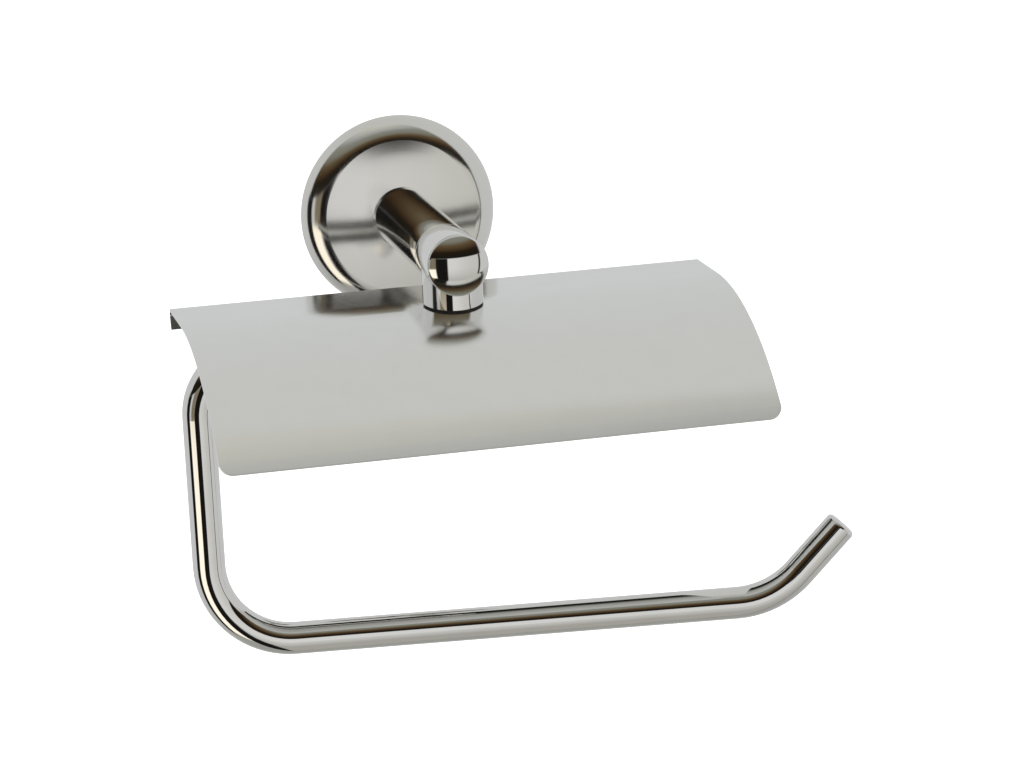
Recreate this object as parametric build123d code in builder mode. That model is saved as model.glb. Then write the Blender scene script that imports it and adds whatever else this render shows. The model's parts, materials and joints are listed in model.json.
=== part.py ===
"""Toilet paper holder with a curved lid, for one roll, fixed to a wall by two screws.

Frame: the wall is the plane Y = 0 and the holder stands out towards -Y.
+Z is up, +X is to the right of someone facing the wall.
The origin is the centre of the wall plate's back. All sizes are in millimetres.
"""

from build123d import *
from math import asin, cos, degrees, radians, sin, sqrt
import os

os.makedirs("parts", exist_ok=True)

# ---- driving dimensions -------------------------------------------------------------

# wall flange
ROSETTE_R = 25.3
FACE_SPHERE_R = 105.0       # radius of the gently domed face
FACE_EDGE_R = 19.6          # where the face turns into the rounded rim
SEAT = 7.0                  # distance of the flat post seat from the wall
RIM_INNER_R = 21.6
ROSETTE_BACK = 3.6          # depth of the recess behind the face
GRUB_OUT = 2.0              # distance of the grub screw's axis from the wall
GRUB_INSET = 1.3            # depth of the grub screw's end below the rim's radius
PLATE_R = 21.2
PLATE_THICK = 2.0
WALL_SCREW_R = 2.3
WALL_SCREW_SPACING = 26.0

# post and head
POST_R = 7.45
TUBE_WALL = 1.25
HEAD_BACK = 59.0            # where the tube ends and the head begins
HEAD_FRONT = 73.2
CAP_EDGE = 74.0             # where the cap's dome begins
DOME_HEIGHT = 2.2
PLUG_LENGTH = 14.0

# neck and lid
NECK_Y = 65.5               # distance of the neck's axis from the wall
NECK_R = 7.35
GASKET_THICK = 0.5
LID_TOP = -10.6             # highest part of the lid
LID_THICK = 0.8
LID_LEFT = -65.8
LID_RIGHT = 67.8
LID_BACK = 40.2             # distance of the folded back edge from the wall
LID_FRONT = 113.8
LID_CURVE = 60.7            # where the flat back part turns into the curve
LID_RADIUS = 70.0
LIP_DROP = 5.4              # height of the folded back edge
LIP_LEAN = 1.6
LIP_BEND_R = 1.8
LID_CORNER_R = 3.2

# arm
ROD_R = 4.0
ARM_TURN = 6.6              # the arm stands turned on its stud, free end forward
ARM_TOP = -19.5             # height of the rod's top run
ARM_BOTTOM = -91.9          # height of the run that carries the roll
ARM_LEFT = -63.1
ARM_CORNER = 76.0           # where the run turns up towards the tip
TIP_X = 93.8
TIP_Z = -73.5
TOP_BEND_R = 15.0
LOW_BEND_R = 20.0
TIP_BEND_R = 22.0
SPIGOT_R = 3.0
SPIGOT_END = -4.6

# arm block and its stack, as heights on the clamp stud
SADDLE_BOTTOM = -14.4
THRUST_BOTTOM = -14.9
BLOCK_TOP = -14.95
BLOCK_BOTTOM = -24.05
WAVE_BOTTOM = -24.7
FLAT_BOTTOM = -25.7
NUT_HEX_BOTTOM = -30.2
NUT_DOME_R = 3.7
BLOCK_FACE = -16.0          # face that the rod's shoulder stands against
BLOCK_R = 6.9
BOSS_WIDTH = 11.0

# threads, modelled plain
STUD_R = 2.5
M6_R = 3.0
GRUB_R = 1.5
PLAY = 0.02                 # gap around a screwed or pressed fit
TURN_PLAY = 0.06            # gap around the stud in the block that turns on it

# ---- derived sizes ------------------------------------------------------------------

face_edge = SEAT + sqrt(FACE_SPHERE_R**2 - FACE_EDGE_R**2) - sqrt(
    FACE_SPHERE_R**2 - (POST_R + 0.3) ** 2
)
lid_centre_z = LID_TOP - LID_RADIUS
lid_sweep = degrees(asin((LID_FRONT - LID_CURVE) / LID_RADIUS))
tube_bore = POST_R - TUBE_WALL
plug_r = tube_bore - PLAY
turn = radians(ARM_TURN)

# Sketch plane that stands on the arm: x along the arm, y up, its front towards the room.
arm_plane = Plane(
    origin=(0, -NECK_Y, 0),
    x_dir=(cos(turn), -sin(turn), 0),
    z_dir=(-sin(turn), -cos(turn), 0),
)


def out(distance):
    """Sketch plane parallel to the wall, facing the room, this far from the wall."""
    return Plane.XZ.offset(distance)


def at_neck(height):
    """Level sketch plane centred on the neck's axis."""
    return Plane((0, -NECK_Y, height))


def at_block(height):
    """Level sketch plane centred on the neck's axis and turned with the arm."""
    return Plane((0, -NECK_Y, height), x_dir=(cos(turn), -sin(turn), 0))


def finish(part, name):
    """Name a piece and write it."""
    part.label = name
    export_step(part, f"parts/{name}.step")


# ---- wall flange --------------------------------------------------------------------

# Steel plate on the wall. Two countersunk holes take the wall screws, and the hole in
# the middle leaves room for the post bolt's head.
with BuildPart() as wall_plate:
    with BuildSketch(Plane.XZ):
        Circle(PLATE_R)
        Circle(7.5, mode=Mode.SUBTRACT)
    extrude(amount=PLATE_THICK)
    with Locations(out(PLATE_THICK)):
        with GridLocations(WALL_SCREW_SPACING, 0, 2, 1):
            CounterSinkHole(WALL_SCREW_R, 3.6)
finish(wall_plate.part, "wall_plate")

# Domed flange: flat seat for the post, gently domed face, full round rim.
with BuildPart() as rosette:
    with BuildSketch(Plane.XY):
        with BuildLine():
            face = RadiusArc((POST_R + 0.3, -SEAT), (FACE_EDGE_R, -face_edge), -FACE_SPHERE_R)
            rim = TangentArc(face @ 1, (ROSETTE_R, 0), tangent=face % 1)
            Polyline(
                rim @ 1,
                (RIM_INNER_R, 0),
                (RIM_INNER_R, -ROSETTE_BACK + 1.6),
                (RIM_INNER_R - 1.6, -ROSETTE_BACK),
                (M6_R + 0.2, -ROSETTE_BACK),
                (M6_R + 0.2, -SEAT),
                face @ 0,
            )
        make_face()
    revolve(axis=Axis.Y)
    with BuildSketch(Plane.XY.offset(-ROSETTE_R - 1)):
        with Locations((0, -GRUB_OUT)):
            Circle(GRUB_R + PLAY)
    extrude(amount=6, mode=Mode.SUBTRACT)
finish(rosette.part, "rosette")

# Grub screw up through the rim's underside onto the wall plate's edge.
with BuildPart() as rosette_grub_screw:
    with BuildSketch(Plane.XY.offset(-ROSETTE_R + GRUB_INSET)):
        with Locations((0, -GRUB_OUT)):
            Circle(GRUB_R)
    extrude(amount=ROSETTE_R - GRUB_INSET - PLATE_R - PLAY)
    with BuildSketch(Plane.XY.offset(-ROSETTE_R + GRUB_INSET)):
        with Locations((0, -GRUB_OUT)):
            RegularPolygon(0.75, 6, major_radius=False)
    extrude(amount=1.6, mode=Mode.SUBTRACT)
finish(rosette_grub_screw.part, "rosette_grub_screw")

# ---- post ---------------------------------------------------------------------------

WASHER_THICK = 0.6
BOLT_HEAD = 1.6
bolt_seat = ROSETTE_BACK - WASHER_THICK

with BuildPart() as post_lock_washer:
    with BuildSketch(out(bolt_seat)):
        Circle(5.0)
        Circle(M6_R + 0.15, mode=Mode.SUBTRACT)
        with Locations((4.0, 0)):
            Rectangle(3.0, 0.6, rotation=20, mode=Mode.SUBTRACT)
    extrude(amount=WASHER_THICK)
finish(post_lock_washer.part, "post_lock_washer")

with BuildPart() as post_bolt:
    with BuildSketch(out(bolt_seat - BOLT_HEAD)):
        Circle(5.4)
    extrude(amount=BOLT_HEAD)
    with BuildSketch(out(bolt_seat)):
        Circle(M6_R)
    extrude(amount=12.0)
    with BuildSketch(out(bolt_seat - BOLT_HEAD)):
        RegularPolygon(2.0, 6, major_radius=False)
    extrude(amount=1.2, mode=Mode.SUBTRACT)
finish(post_bolt.part, "post_bolt")

with BuildPart() as post_tube:
    with BuildSketch(out(SEAT)):
        Circle(POST_R)
        Circle(tube_bore, mode=Mode.SUBTRACT)
    extrude(amount=HEAD_BACK - SEAT)
    rims = post_tube.edges().filter_by(GeomType.CIRCLE).sort_by(SortBy.LENGTH)[-2:]
    fillet(rims.sort_by(Axis.Y)[0], 0.25)
finish(post_tube.part, "post_tube")


def plug(start):
    """Tapped plug that fills the tube's bore, starting this far from the wall."""
    with BuildPart() as piece:
        with BuildSketch(out(start)):
            Circle(plug_r)
            Circle(M6_R + PLAY, mode=Mode.SUBTRACT)
        extrude(amount=PLUG_LENGTH)
    return piece.part


finish(plug(SEAT), "post_rear_plug")
finish(plug(HEAD_BACK - PLUG_LENGTH), "post_front_plug")

# ---- head ---------------------------------------------------------------------------

REAR_HOLE = 3.6             # depth of the tapped hole that takes the head stud
FRONT_HOLE = 4.4            # depth of the tapped hole that takes the cap
STUD_TOP = 2.0

with BuildPart() as head_stud:
    with BuildSketch(out(HEAD_BACK - 10)):
        Circle(M6_R)
    extrude(amount=10 + REAR_HOLE - 0.2)
finish(head_stud.part, "head_stud")

# Drum with three tapped holes: behind for the tube, in front for the cap, below for the
# clamp stud.
with BuildPart() as head:
    with BuildSketch(out(HEAD_BACK)):
        Circle(POST_R)
    extrude(amount=HEAD_FRONT - HEAD_BACK)
    fillet(head.edges().filter_by(GeomType.CIRCLE).sort_by(Axis.Y)[-1], 0.25)
    with BuildSketch(out(HEAD_BACK)):
        Circle(M6_R + PLAY)
    extrude(amount=REAR_HOLE, mode=Mode.SUBTRACT)
    with BuildSketch(out(HEAD_FRONT - FRONT_HOLE)):
        Circle(M6_R + PLAY)
    extrude(amount=FRONT_HOLE, mode=Mode.SUBTRACT)
    with BuildSketch(at_neck(-POST_R - 1)):
        Circle(STUD_R + PLAY)
    extrude(amount=POST_R + 1 + STUD_TOP + 0.2, mode=Mode.SUBTRACT)
finish(head.part, "head")

# Domed cap on a screwed spigot.
dome_radius = (POST_R**2 + DOME_HEIGHT**2) / (2 * DOME_HEIGHT)
with BuildPart() as end_cap:
    with BuildSketch(Plane.XY):
        with BuildLine():
            Polyline(
                (0, -HEAD_FRONT + FRONT_HOLE - 0.2),
                (M6_R, -HEAD_FRONT + FRONT_HOLE - 0.2),
                (M6_R, -HEAD_FRONT),
                (POST_R, -HEAD_FRONT),
                (POST_R, -CAP_EDGE),
            )
            RadiusArc((POST_R, -CAP_EDGE), (0, -CAP_EDGE - DOME_HEIGHT), dome_radius)
            Line((0, -CAP_EDGE - DOME_HEIGHT), (0, -HEAD_FRONT + FRONT_HOLE - 0.2))
        make_face()
    revolve(axis=Axis.Y)
finish(end_cap.part, "end_cap")

# ---- neck and lid -------------------------------------------------------------------


def lid_drum(radius, mode):
    """Solid drum along X on the lid's centre of curvature, for coping pieces to it."""
    with Locations((0, -LID_CURVE, lid_centre_z)):
        Cylinder(radius, 60, rotation=(0, 90, 0), mode=mode)


# Sleeve coped at the top to the head and at the foot to the lid's curve.
with BuildPart() as neck:
    with BuildSketch(at_neck(-20)):
        Circle(NECK_R)
    extrude(amount=20)
    with BuildSketch(out(HEAD_BACK - 10)):
        Circle(POST_R + PLAY)
    extrude(amount=40, mode=Mode.SUBTRACT)
    lid_drum(LID_RADIUS + GASKET_THICK, Mode.SUBTRACT)
    with BuildSketch(at_neck(-30)):
        Circle(STUD_R + 0.2)
    extrude(amount=30, mode=Mode.SUBTRACT)
finish(neck.part, "neck")

with BuildPart() as neck_gasket:
    with BuildSketch(at_neck(-20)):
        Circle(NECK_R - 0.2)
        Circle(STUD_R + 0.3, mode=Mode.SUBTRACT)
    extrude(amount=20)
    lid_drum(LID_RADIUS + GASKET_THICK, Mode.INTERSECT)
    lid_drum(LID_RADIUS, Mode.SUBTRACT)
    # clears the lid's flat part, which the back of the neck stands on
    with Locations((0, 10 - LID_CURVE, LID_TOP)):
        Box(20, 20, 10, align=(Align.CENTER, Align.CENTER, Align.MAX), mode=Mode.SUBTRACT)
finish(neck_gasket.part, "neck_gasket")

# Curved sheet: a folded lip at the back, a flat part, then an arc down to the front.
with BuildPart() as lid:
    with BuildSketch(Plane.YZ.offset(LID_LEFT)):
        with BuildLine():
            lip = FilletPolyline(
                (-LID_BACK - LIP_LEAN, LID_TOP - LIP_DROP),
                (-LID_BACK, LID_TOP),
                (-LID_CURVE, LID_TOP),
                radius=LIP_BEND_R,
            )
            JernArc(lip @ 1, (-1, 0), LID_RADIUS, lid_sweep)
            offset(amount=LID_THICK, side=Side.LEFT)
        make_face()
    extrude(amount=LID_RIGHT - LID_LEFT)
    corners = lid.edges().filter_by(lambda e: abs(e.length - LID_THICK) < 0.01)
    fillet(corners.group_by(Axis.Y)[0], LID_CORNER_R)
    with BuildSketch(at_neck(-30)):
        Circle(STUD_R + 0.2)
    extrude(amount=30, mode=Mode.SUBTRACT)
finish(lid.part, "lid")

# Saddle that turns the lid's curved underside into a flat seat for the arm block.
with BuildPart() as lid_saddle:
    with BuildSketch(at_neck(SADDLE_BOTTOM)):
        Circle(BLOCK_R - 0.4)
        Circle(STUD_R + 0.2, mode=Mode.SUBTRACT)
    extrude(amount=6)
    lid_drum(LID_RADIUS - LID_THICK, Mode.INTERSECT)
finish(lid_saddle.part, "lid_saddle")

# ---- clamp stack --------------------------------------------------------------------

with BuildPart() as clamp_stud:
    with BuildSketch(at_neck(NUT_HEX_BOTTOM - 1)):
        Circle(STUD_R)
    extrude(amount=STUD_TOP - NUT_HEX_BOTTOM + 1)
    chamfer(clamp_stud.edges().filter_by(GeomType.CIRCLE), 0.4)
finish(clamp_stud.part, "clamp_stud")


def washer(top, bottom, radius, hole):
    """Flat ring on the clamp stud."""
    with BuildPart() as piece:
        with BuildSketch(at_neck(bottom)):
            Circle(radius)
            Circle(hole, mode=Mode.SUBTRACT)
        extrude(amount=top - bottom)
    return piece.part


finish(washer(SADDLE_BOTTOM, THRUST_BOTTOM, 6.4, 2.7), "thrust_washer")
finish(washer(BLOCK_BOTTOM - 0.05, WAVE_BOTTOM, 5.0, 2.75), "wave_washer")
finish(washer(WAVE_BOTTOM, FLAT_BOTTOM, 5.0, 2.7), "flat_washer")

# Acorn nut: hexagon above, dome below, with a blind thread from the top.
with BuildPart() as cap_nut:
    with BuildSketch(at_neck(NUT_HEX_BOTTOM)):
        RegularPolygon(4.0, 6, major_radius=False)
    extrude(amount=FLAT_BOTTOM - NUT_HEX_BOTTOM)
    with Locations((0, -NECK_Y, NUT_HEX_BOTTOM)):
        Sphere(
            NUT_DOME_R,
            arc_size1=-90,
            arc_size2=0,
            align=(Align.CENTER, Align.CENTER, Align.MAX),
        )
    with BuildSketch(at_neck(NUT_HEX_BOTTOM - 1.4)):
        Circle(STUD_R + PLAY)
    extrude(amount=FLAT_BOTTOM - NUT_HEX_BOTTOM + 1.4, mode=Mode.SUBTRACT)
finish(cap_nut.part, "cap_nut")

# ---- arm ----------------------------------------------------------------------------

# Block with a round end on the stud and a boss that takes the rod's spigot.
with BuildPart() as arm_block:
    with BuildSketch(at_block(BLOCK_BOTTOM)):
        Circle(BLOCK_R)
        with Locations((BLOCK_FACE / 2, 0)):
            Rectangle(-BLOCK_FACE, BOSS_WIDTH)
    extrude(amount=BLOCK_TOP - BLOCK_BOTTOM)
    with BuildSketch(at_block(BLOCK_BOTTOM)):
        Circle(STUD_R + TURN_PLAY)
    extrude(amount=BLOCK_TOP - BLOCK_BOTTOM, mode=Mode.SUBTRACT)
    with Locations(arm_plane):
        with Locations(Location((BLOCK_FACE, ARM_TOP, 0), (0, 90, 0))):
            Cylinder(
                SPIGOT_R + PLAY,
                SPIGOT_END - BLOCK_FACE + 0.2,
                align=(Align.CENTER, Align.CENTER, Align.MIN),
                mode=Mode.SUBTRACT,
            )
        with Locations((BLOCK_FACE / 2 - 2, ARM_TOP, 0)):
            Cylinder(
                GRUB_R + PLAY,
                BOSS_WIDTH,
                align=(Align.CENTER, Align.CENTER, Align.MIN),
                mode=Mode.SUBTRACT,
            )
finish(arm_block.part, "arm_block")

with BuildPart() as arm_grub_screw:
    with Locations(arm_plane.offset(SPIGOT_R + PLAY)):
        with Locations((BLOCK_FACE / 2 - 2, ARM_TOP, 0)):
            Cylinder(GRUB_R, 2.2, align=(Align.CENTER, Align.CENTER, Align.MIN))
finish(arm_grub_screw.part, "arm_grub_screw")

# Rod bent in one plane: top run, left limb, roll run, upturned tip. Its end is turned
# down to a spigot that goes into the block.
with BuildPart() as arm:
    with BuildLine(arm_plane) as route:
        FilletPolyline(
            (BLOCK_FACE, ARM_TOP),
            (ARM_LEFT, ARM_TOP),
            (ARM_LEFT, ARM_BOTTOM),
            (ARM_CORNER, ARM_BOTTOM),
            (TIP_X, TIP_Z),
            radius=(TOP_BEND_R, LOW_BEND_R, TIP_BEND_R),
        )
    with BuildSketch(Plane(origin=route.line @ 0, z_dir=route.line % 0)):
        Circle(ROD_R)
    sweep()
    tip_edge = arm.edges().filter_by(GeomType.CIRCLE).sort_by(Axis.X)[-1]
    fillet(tip_edge, 1.1)
    with BuildSketch(Plane(origin=route.line @ 0, z_dir=-(route.line % 0))):
        Circle(SPIGOT_R)
    extrude(amount=SPIGOT_END - BLOCK_FACE)
finish(arm.part, "arm")
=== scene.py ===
"""Looks of the toilet paper holder: finishes, studio and camera around the fixed frame."""

import json
import math

import bpy
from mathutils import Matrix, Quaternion, Vector


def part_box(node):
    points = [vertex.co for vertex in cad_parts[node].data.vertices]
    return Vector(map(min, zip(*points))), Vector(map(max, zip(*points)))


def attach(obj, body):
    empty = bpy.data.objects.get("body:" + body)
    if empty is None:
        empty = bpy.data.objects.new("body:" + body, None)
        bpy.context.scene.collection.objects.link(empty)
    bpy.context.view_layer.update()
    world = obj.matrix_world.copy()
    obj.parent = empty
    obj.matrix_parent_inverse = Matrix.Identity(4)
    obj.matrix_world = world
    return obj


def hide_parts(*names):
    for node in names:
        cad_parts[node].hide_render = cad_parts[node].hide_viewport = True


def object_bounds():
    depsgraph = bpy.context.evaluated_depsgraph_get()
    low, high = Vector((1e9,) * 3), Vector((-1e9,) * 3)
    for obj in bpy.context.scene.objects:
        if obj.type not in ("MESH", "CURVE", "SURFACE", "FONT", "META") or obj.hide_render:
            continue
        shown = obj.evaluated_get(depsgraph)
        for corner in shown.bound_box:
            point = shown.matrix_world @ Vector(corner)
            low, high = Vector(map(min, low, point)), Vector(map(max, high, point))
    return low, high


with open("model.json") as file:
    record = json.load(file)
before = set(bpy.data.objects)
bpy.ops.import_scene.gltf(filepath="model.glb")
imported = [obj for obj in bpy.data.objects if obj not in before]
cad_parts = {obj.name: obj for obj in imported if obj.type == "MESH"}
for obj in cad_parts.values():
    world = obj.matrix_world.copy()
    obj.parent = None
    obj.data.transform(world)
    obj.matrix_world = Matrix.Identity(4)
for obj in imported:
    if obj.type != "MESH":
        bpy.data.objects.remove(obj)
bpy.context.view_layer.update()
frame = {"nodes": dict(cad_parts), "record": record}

# ---- shader writing -----------------------------------------------------------------


class Socket:
    """A node's output, on which arithmetic adds Math nodes."""

    def __init__(self, tree, output):
        self.tree = tree
        self.output = output

    def _math(self, operation, *values):
        sockets = dict(enumerate(values))
        return self.tree.node("ShaderNodeMath", {"operation": operation}, sockets)

    def __add__(self, other):
        return self._math("ADD", self, other)

    def __radd__(self, other):
        return self._math("ADD", other, self)

    def __sub__(self, other):
        return self._math("SUBTRACT", self, other)

    def __rsub__(self, other):
        return self._math("SUBTRACT", other, self)

    def __mul__(self, other):
        return self._math("MULTIPLY", self, other)

    def __rmul__(self, other):
        return self._math("MULTIPLY", other, self)

    def out(self, name):
        """Another output of the same node."""
        return Socket(self.tree, self.output.node.outputs[name])


class Tree:
    """Node tree of a material or world."""

    def __init__(self, owner):
        owner.use_nodes = True
        self.nodes = owner.node_tree.nodes
        self.links = owner.node_tree.links
        self.nodes.clear()

    def node(self, kind, settings=None, sockets=None):
        """Add a node: its settings first, then the values or links of its sockets."""
        made = self.nodes.new(kind)
        for name, value in (settings or {}).items():
            if name == "ramp":
                self._ramp(made.color_ramp, value)
            else:
                setattr(made, name, value)
        for name, value in (sockets or {}).items():
            if isinstance(value, Socket):
                self.links.new(value.output, made.inputs[name])
            else:
                made.inputs[name].default_value = value
        outputs = [o for o in made.outputs if o.enabled]
        return Socket(self, outputs[0]) if outputs else None

    @staticmethod
    def _ramp(ramp, stops):
        while len(ramp.elements) < len(stops):
            ramp.elements.new(1.0)
        for element, (position, colour) in zip(ramp.elements, stops):
            element.position = position
            element.color = (*colour, 1.0)

    def mix(self, factor, first, second):
        """Colour that goes from first to second as factor goes from 0 to 1."""
        made = self.nodes.new("ShaderNodeMix")
        made.data_type = "RGBA"
        for index, value in ((0, factor), (6, first), (7, second)):
            if isinstance(value, Socket):
                self.links.new(value.output, made.inputs[index])
            elif index == 0:
                made.inputs[0].default_value = value
            else:
                made.inputs[index].default_value = (*value, 1.0)
        return Socket(self, made.outputs[2])

    def ease(self, value, start, end):
        """0 before start, 1 after end, smooth between."""
        return self.node(
            "ShaderNodeMapRange",
            {"interpolation_type": "SMOOTHSTEP"},
            {"Value": value, "From Min": start, "From Max": end},
        )

    def window(self, value, low, high, soft):
        """1 between low and high, with edges of the given softness."""
        rise = self.ease(value, low - soft, low + soft)
        return rise - self.ease(value, high - soft, high + soft)

    def axis(self, vector, letter):
        """The X, Y or Z of a vector."""
        return self.node("ShaderNodeSeparateXYZ", {}, {"Vector": vector}).out(letter)

    def place(self, scale=(1, 1, 1)):
        """Object coordinates in metres, stretched by scale."""
        where = self.node("ShaderNodeTexCoord").out("Object")
        return self.node("ShaderNodeMapping", {}, {"Vector": where, "Scale": scale})

    def noise(self, vector, scale, detail=2.0, roughness=0.5):
        """Smooth noise about 0.5."""
        return self.node(
            "ShaderNodeTexNoise",
            {},
            {"Vector": vector, "Scale": scale, "Detail": detail, "Roughness": roughness},
        )

    def bump(self, height, distance, strength=1.0):
        """Normal of a surface raised by height times distance, in metres."""
        return self.node(
            "ShaderNodeBump",
            {},
            {"Height": height, "Distance": distance, "Strength": strength},
        )

    def surface(self, **sockets):
        """Principled shader; socket names with underscores for spaces."""
        named = {name.replace("_", " "): value for name, value in sockets.items()}
        return self.node("ShaderNodeBsdfPrincipled", {}, named)


def finish_named(name, build):
    """Material whose tree comes from build(tree), which returns its shader."""
    material = bpy.data.materials.new(name)
    tree = Tree(material)
    tree.node("ShaderNodeOutputMaterial", {}, {"Surface": build(tree)})
    return material


# ---- finishes -----------------------------------------------------------------------


def polished_chrome(t):
    """Bright plating, with faint wipe marks and the soft waves of a polished casting."""
    metres = t.place()
    smear = t.noise(metres, 90.0, 3.0, 0.6)
    waves = t.noise(metres, 60.0, 1.0)
    wiped = t.ease(smear, 0.35, 0.75)
    return t.surface(
        Base_Color=t.mix(wiped, (0.81, 0.805, 0.785), (0.775, 0.77, 0.75)),
        Metallic=1.0,
        Roughness=0.035 + 0.03 * t.ease(smear, 0.45, 0.8),
        Normal=t.bump(waves, 0.00002, 0.4),
    )


def buffed_chrome(t):
    """Plating over a pressed and buffed flange, softer than the turned pieces."""
    metres = t.place()
    haze = t.noise(metres, 130.0, 3.0, 0.6)
    waves = t.noise(metres, 45.0, 1.0)
    return t.surface(
        Base_Color=t.mix(haze, (0.80, 0.79, 0.755), (0.765, 0.755, 0.72)),
        Metallic=1.0,
        Roughness=0.11 + 0.05 * haze,
        Normal=t.bump(waves, 0.00003, 0.4),
    )


SHADE_FRONT = -0.085        # painted shade darkens the lid's underside from this depth
SHADE_BACK = -0.060         # to this one, near the fold


def satin_lid(t):
    """Rolled stainless sheet with a fine sandy satin finish, with painted shade below near
    its fold.
    """
    metres = t.place()
    grain = t.noise(metres, 1900.0, 2.0, 0.6)
    mottle = t.noise(metres, 160.0, 3.0, 0.6)
    rolled = t.noise(t.place((30.0, 900.0, 900.0)), 1.0, 2.0)
    facing = t.node("ShaderNodeNewGeometry").out("Normal")
    beneath = 1.0 - t.ease(t.axis(facing, "Z"), -0.25, 0.0)
    # Painted shade: faces that look downward near the fold are darkened almost to black.
    painted_shade = beneath * t.ease(t.axis(metres, "Y"), SHADE_FRONT, SHADE_BACK)
    steel = t.mix(mottle, (0.83, 0.83, 0.81), (0.88, 0.88, 0.86))
    return t.surface(
        Base_Color=t.mix(painted_shade, steel, (0.03, 0.028, 0.025)),
        Metallic=1.0,
        Roughness=0.115 + 0.05 * mottle + 0.04 * grain,
        Normal=t.bump(grain + 0.3 * rolled, 0.00001, 0.5),
    )


def zinc_plate(t):
    """Dull zinc plating with a light spangle."""
    metres = t.place()
    spangle = t.node("ShaderNodeTexVoronoi", {}, {"Vector": metres, "Scale": 420.0})
    cloud = t.noise(metres, 240.0, 3.0)
    return t.surface(
        Base_Color=t.mix(spangle * cloud, (0.50, 0.51, 0.53), (0.66, 0.66, 0.66)),
        Metallic=1.0,
        Roughness=0.34 + 0.18 * cloud,
        Normal=t.bump(cloud, 0.00003, 0.4),
    )


def turned_brass(t):
    """Brass with the fine rings that a lathe leaves."""
    metres = t.place()
    rings = t.noise(t.place((60.0, 2500.0, 60.0)), 1.0, 1.0)
    tarnish = t.noise(metres, 120.0, 3.0)
    return t.surface(
        Base_Color=t.mix(tarnish, (0.78, 0.60, 0.30), (0.62, 0.46, 0.24)),
        Metallic=1.0,
        Roughness=0.22 + 0.15 * tarnish,
        Normal=t.bump(rings, 0.00002, 0.5),
    )


def black_fibre(t):
    """Pressed black fibre sheet."""
    felt = t.noise(t.place(), 2600.0, 4.0, 0.7)
    return t.surface(
        Base_Color=t.mix(felt, (0.012, 0.012, 0.012), (0.045, 0.043, 0.040)),
        Roughness=0.75 + 0.15 * felt,
        Normal=t.bump(felt, 0.00005, 0.6),
    )


def white_nylon(t):
    """Moulded nylon, slightly waxy."""
    skin = t.noise(t.place(), 700.0, 3.0)
    return t.surface(
        Base_Color=t.mix(skin, (0.78, 0.77, 0.72), (0.86, 0.85, 0.81)),
        Roughness=0.42 + 0.1 * skin,
        Normal=t.bump(skin, 0.00003, 0.4),
    )


def black_steel(t):
    """Oil-blackened screw steel, worn a little brighter in patches."""
    worn = t.noise(t.place(), 900.0, 3.0)
    return t.surface(
        Base_Color=t.mix(t.ease(worn, 0.5, 0.8), (0.04, 0.04, 0.045), (0.22, 0.22, 0.22)),
        Metallic=1.0,
        Roughness=0.38 + 0.15 * worn,
        Normal=t.bump(worn, 0.00002, 0.4),
    )


FINISHES = {
    "polished_chrome": polished_chrome,
    "brushed_lid": satin_lid,
    "zinc": zinc_plate,
    "brass": turned_brass,
    "black_fibre": black_fibre,
    "white_nylon": white_nylon,
    "black_steel": black_steel,
}
finishes = {slot: finish_named(slot, build) for slot, build in FINISHES.items()}

for subpart in frame["record"]["subparts"]:
    slots = frame["nodes"][subpart["node"]].data.materials
    slots.clear()
    slots.append(finishes[subpart["material_slot"]])

frame["nodes"]["rosette"].data.materials[0] = finish_named("buffed_chrome", buffed_chrome)

# ---- finer shapes -------------------------------------------------------------------

DOME_HEIGHT = 0.0022
CAP_RIM = 0.0008            # thickness of the cap's edge behind the dome
CAP_SPIGOT_R = 0.003
CAP_BEVEL = 0.00015
DOME_RINGS = 24
TURNING_STEPS = 192
SHARP_ANGLE = math.radians(50)


def turned(name, profile):
    """Closed solid turned about the post's axis.

    The profile runs from back to front as (radius, distance from the wall), with both
    ends on the axis.
    """
    rings = profile[1:-1]
    points = [(0.0, -profile[0][1], 0.0), (0.0, -profile[-1][1], 0.0)]
    for radius, distance in rings:
        for step in range(TURNING_STEPS):
            angle = math.tau * step / TURNING_STEPS
            points.append((radius * math.cos(angle), -distance, radius * math.sin(angle)))
    faces = []
    last = 2 + (len(rings) - 1) * TURNING_STEPS
    for step in range(TURNING_STEPS):
        after = (step + 1) % TURNING_STEPS
        faces.append((0, 2 + step, 2 + after))
        faces.append((1, last + after, last + step))
        for ring in range(len(rings) - 1):
            a = 2 + ring * TURNING_STEPS
            b = a + TURNING_STEPS
            faces.append((a + step, b + step, b + after, a + after))
    mesh = bpy.data.meshes.new(name)
    mesh.from_pydata(points, [], faces)
    mesh.shade_smooth()
    mesh.set_sharp_from_angle(angle=SHARP_ANGLE)
    mesh.materials.append(finishes["polished_chrome"])
    piece = bpy.data.objects.new(name, mesh)
    bpy.context.collection.objects.link(piece)
    return piece


cap_low, cap_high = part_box("end_cap")
cap_r = cap_high.x
dome_edge = -cap_low.y - DOME_HEIGHT
dome_r = (cap_r**2 + DOME_HEIGHT**2) / (2 * DOME_HEIGHT)
cap_back = dome_edge - CAP_RIM
dome = []
for ring in range(DOME_RINGS):
    radius = (cap_r - CAP_BEVEL) * (1 - ring / DOME_RINGS)
    dome.append((radius, -cap_low.y - dome_r + math.sqrt(dome_r**2 - radius**2)))
cap = turned(
    "end_cap_dome",
    [
        (0.0, -cap_high.y),
        (CAP_SPIGOT_R, -cap_high.y),
        (CAP_SPIGOT_R, cap_back),
        (cap_r - CAP_BEVEL, cap_back),
        (cap_r, cap_back + CAP_BEVEL),
        (cap_r, dome_edge - CAP_BEVEL),
        *dome,
        (0.0, -cap_low.y),
    ],
)
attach(cap, "bracket")
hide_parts("end_cap")

# ---- studio -------------------------------------------------------------------------

low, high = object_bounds()
centre = (low + high) / 2

FLOOR_DROP = 0.6
FLOOR_HALF = 15.0


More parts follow.
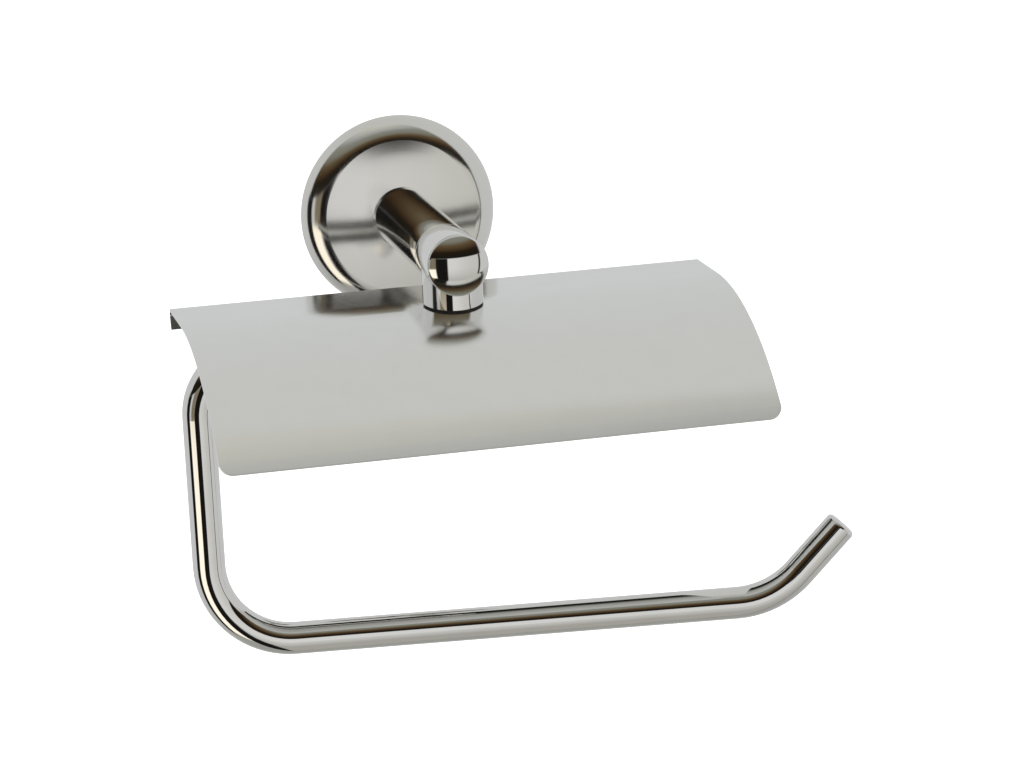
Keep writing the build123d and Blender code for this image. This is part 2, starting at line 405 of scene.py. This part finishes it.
def pale_floor(t):
    """Matt off-white studio floor."""
    return t.surface(
        Base_Color=t.mix(t.noise(t.place(), 3.0), (0.92, 0.92, 0.92), (0.94, 0.94, 0.94)),
        Roughness=0.9,
        Emission_Color=(1.0, 1.0, 1.0, 1.0),
        Emission_Strength=0.85,
    )


floor_mesh = bpy.data.meshes.new("studio_floor")
floor_z = low.z - FLOOR_DROP
floor_corners = [
    (x * FLOOR_HALF, y * FLOOR_HALF, floor_z) for x, y in ((-1, -1), (1, -1), (1, 1), (-1, 1))
]
floor_mesh.from_pydata(floor_corners, [], [(0, 1, 2, 3)])
floor_mesh.materials.append(finish_named("pale_floor", pale_floor))
studio_floor = bpy.data.objects.new("studio_floor", floor_mesh)
bpy.context.collection.objects.link(studio_floor)
studio_floor.visible_glossy = False


# Colour of the studio's upper front, by height as a share of 90 degrees.
CEILING_STOPS = (
    (0.09, (0.010, 0.009, 0.007)),
    (0.22, (0.020, 0.014, 0.008)),
    (0.28, (0.068, 0.040, 0.020)),
    (0.37, (0.128, 0.088, 0.046)),
    (0.46, (0.23, 0.23, 0.19)),
    (0.58, (0.27, 0.27, 0.24)),
    (0.67, (0.42, 0.43, 0.43)),
    (0.84, (0.60, 0.595, 0.54)),
    (0.97, (0.64, 0.64, 0.63)),
)


DEGREES = math.degrees(1.0)
CEILING_FROM = 7            # height in degrees where the walls begin to give way
CEILING_FULL = 9            # and where the ceiling is all there is


def studio_walls(t):
    """The room that the polished metal reflects, by compass direction and height.

    Azimuth 0 is the front of the holder and 90 its right, in degrees.
    """
    toward = t.node("ShaderNodeTexCoord").out("Generated")
    x, y, z = (t.axis(toward, letter) for letter in "XYZ")
    bearing = t.node("ShaderNodeMath", {"operation": "ARCTAN2"}, {0: x, 1: -1.0 * y})
    azimuth = bearing * DEGREES
    height = t.node("ShaderNodeMath", {"operation": "ARCSINE"}, {0: z}) * DEGREES
    paper = (0.64, 0.65, 0.655)
    lamp = (1.3, 1.2, 1.02)
    black = (0.010, 0.009, 0.008)
    tan = (0.24, 0.20, 0.14)
    ceiling = t.node(
        "ShaderNodeValToRGB",
        {"ramp": CEILING_STOPS},
        {"Fac": height * (1 / 90)},
    )
    # Pale walls all round, lighter overhead.
    walls = t.mix(t.ease(height, -75, -15), (0.38, 0.38, 0.36), paper)
    walls = t.mix(t.ease(height, 30, 75), walls, (0.63, 0.635, 0.62))
    # White card in front, a little duller to the right and towards the floor.
    fill_card = t.mix(t.ease(azimuth, -10, 45), (0.78, 0.78, 0.78), (0.64, 0.635, 0.60))
    fill_card = t.mix(t.ease(height, -55, -8), (0.44, 0.43, 0.40), fill_card)
    walls = t.mix(t.window(azimuth, -14, 52, 1.5), walls, fill_card)
    # Tan wall on the left, with a warm lamp low in front of it.
    tan_wall = t.window(azimuth, -62, -34, 4) * t.window(height, -22, 9, 3)
    walls = t.mix(tan_wall, walls, tan)
    low_lamp = t.window(azimuth, -74, -38, 2) * t.window(height, -58, -13, 2)
    walls = t.mix(low_lamp, walls, lamp)
    # Black flags on both sides of the card and beyond the lamp.
    upper = t.ease(height, CEILING_FROM, CEILING_FULL)
    below = 1.0 - upper
    walls = t.mix(t.window(azimuth, -38, -14, 1.5) * below, walls, black)
    far_flag = t.window(azimuth, -98, -74, 2) * t.window(height, -60, 10, 4)
    walls = t.mix(far_flag, walls, black)
    walls = t.mix(t.window(azimuth, 51, 55, 1.5) * below, walls, black)
    # Ceiling over the front, which starts dark and brightens with height.
    front = t.window(azimuth, -92, 57, 3)
    walls = t.mix(front * upper, walls, ceiling)
    seen = t.node("ShaderNodeBackground", {}, {"Color": walls, "Strength": 1.0})
    white = t.node("ShaderNodeBackground", {}, {"Color": (1, 1, 1, 1), "Strength": 1.0})
    camera_ray = t.node("ShaderNodeLightPath").out("Is Camera Ray")
    return t.node("ShaderNodeMixShader", {}, {0: camera_ray, 1: seen, 2: white})


world = bpy.data.worlds.new("studio")
bpy.context.scene.world = world
world_tree = Tree(world)
world_tree.node("ShaderNodeOutputWorld", {}, {"Surface": studio_walls(world_tree)})


def direction(azimuth, elevation):
    """Unit vector towards an azimuth and elevation in degrees; azimuth 0 is the front."""
    a, e = math.radians(azimuth), math.radians(elevation)
    return Vector((math.sin(a) * math.cos(e), -math.cos(a) * math.cos(e), math.sin(e)))


def soft_light(name, azimuth, elevation, distance, size, watts):
    """Square soft light that faces the holder's centre."""
    toward = direction(azimuth, elevation)
    data = bpy.data.lights.new(name, "AREA")
    data.size = size
    data.energy = watts
    lamp = bpy.data.objects.new(name, data)
    lamp.location = centre + toward * distance
    lamp.rotation_mode = "QUATERNION"
    lamp.rotation_quaternion = (-toward).to_track_quat("-Z", "Y")
    lamp.visible_camera = False
    lamp.visible_glossy = False
    bpy.context.collection.objects.link(lamp)


soft_light("overhead_light", 0.0, 80.0, 2.5, 3.0, 60.0)

# ---- camera -------------------------------------------------------------------------

VIEW_AZIMUTH = -12.39
VIEW_ELEVATION = 13.51
VIEW_ROLL = -2.83
VIEW_DISTANCE = 0.960
VIEW_AIM = Vector((0.0250, -0.0131, -0.0452))
LENS = 130.5
SENSOR = 36.0

toward_camera = direction(VIEW_AZIMUTH, VIEW_ELEVATION)
camera_data = bpy.data.cameras.new("camera")
camera_data.lens = LENS
camera_data.sensor_width = SENSOR
camera_data.clip_start = 0.01
camera_data.clip_end = 60.0
camera = bpy.data.objects.new("camera", camera_data)
camera.location = VIEW_AIM + toward_camera * VIEW_DISTANCE
camera.rotation_mode = "QUATERNION"
camera.rotation_quaternion = (-toward_camera).to_track_quat("-Z", "Y") @ Quaternion(
    (0, 0, 1), math.radians(VIEW_ROLL)
)
bpy.context.collection.objects.link(camera)
bpy.context.scene.camera = camera
bpy.context.scene.view_settings.view_transform = "Standard"
